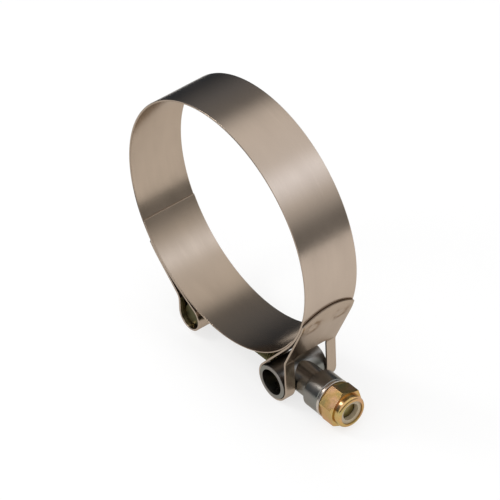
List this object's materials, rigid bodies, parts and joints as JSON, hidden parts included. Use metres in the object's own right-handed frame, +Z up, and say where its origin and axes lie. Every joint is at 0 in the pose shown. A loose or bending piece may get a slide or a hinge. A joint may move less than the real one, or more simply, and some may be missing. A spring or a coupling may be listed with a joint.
{
  "type": "t-bolt band clamp",
  "caption": "Stainless band clamp with folded loops, an inner bridge and a T-bolt that a lock nut draws through a tubular trunnion to grip a hose.",
  "frame": {"origin": "centre of the ring, halfway across the band's width", "axes": "+Y along the ring's axis, +X along the bolt from the T-head to the nut, +Z up, away from the bolt"},
  "size_m": [0.0902, 0.0194, 0.0901],
  "materials": {
    "stainless_strip": "bright rolled stainless steel",
    "trunnion_steel": "smooth plated steel, warm grey",
    "washer_zinc": "bright zinc plate",
    "yellow_zinc": "yellow zinc plate, glossy",
    "bolt_zinc": "yellow zinc plate, satin",
    "nylon": "natural nylon"
  },
  "bodies": {
    "clamp": {"band": "stainless_strip", "bridge": "stainless_strip", "t_bolt": "bolt_zinc", "trunnion": "trunnion_steel"},
    "washer": {"washer": "washer_zinc"},
    "nut": {"lock_nut": "yellow_zinc", "nylon_insert": "nylon"}
  },
  "joints": [
    {"name": "washer_slide", "type": "slide", "parent": "clamp", "child": "washer", "axis": [1, 0, 0], "range_m": [0, 0.00544]},
    {"name": "nut_spin", "type": "hinge", "parent": "washer", "child": "nut", "pos_m": [0.0457, -0.001, -0.04322], "axis": [1, 0, 0], "range_deg": [0, 2160]}
  ],
  "couplings": [
    {"joint": "washer_slide", "follows": "nut_spin", "m_per_rad": 0.00014438}
  ]
}
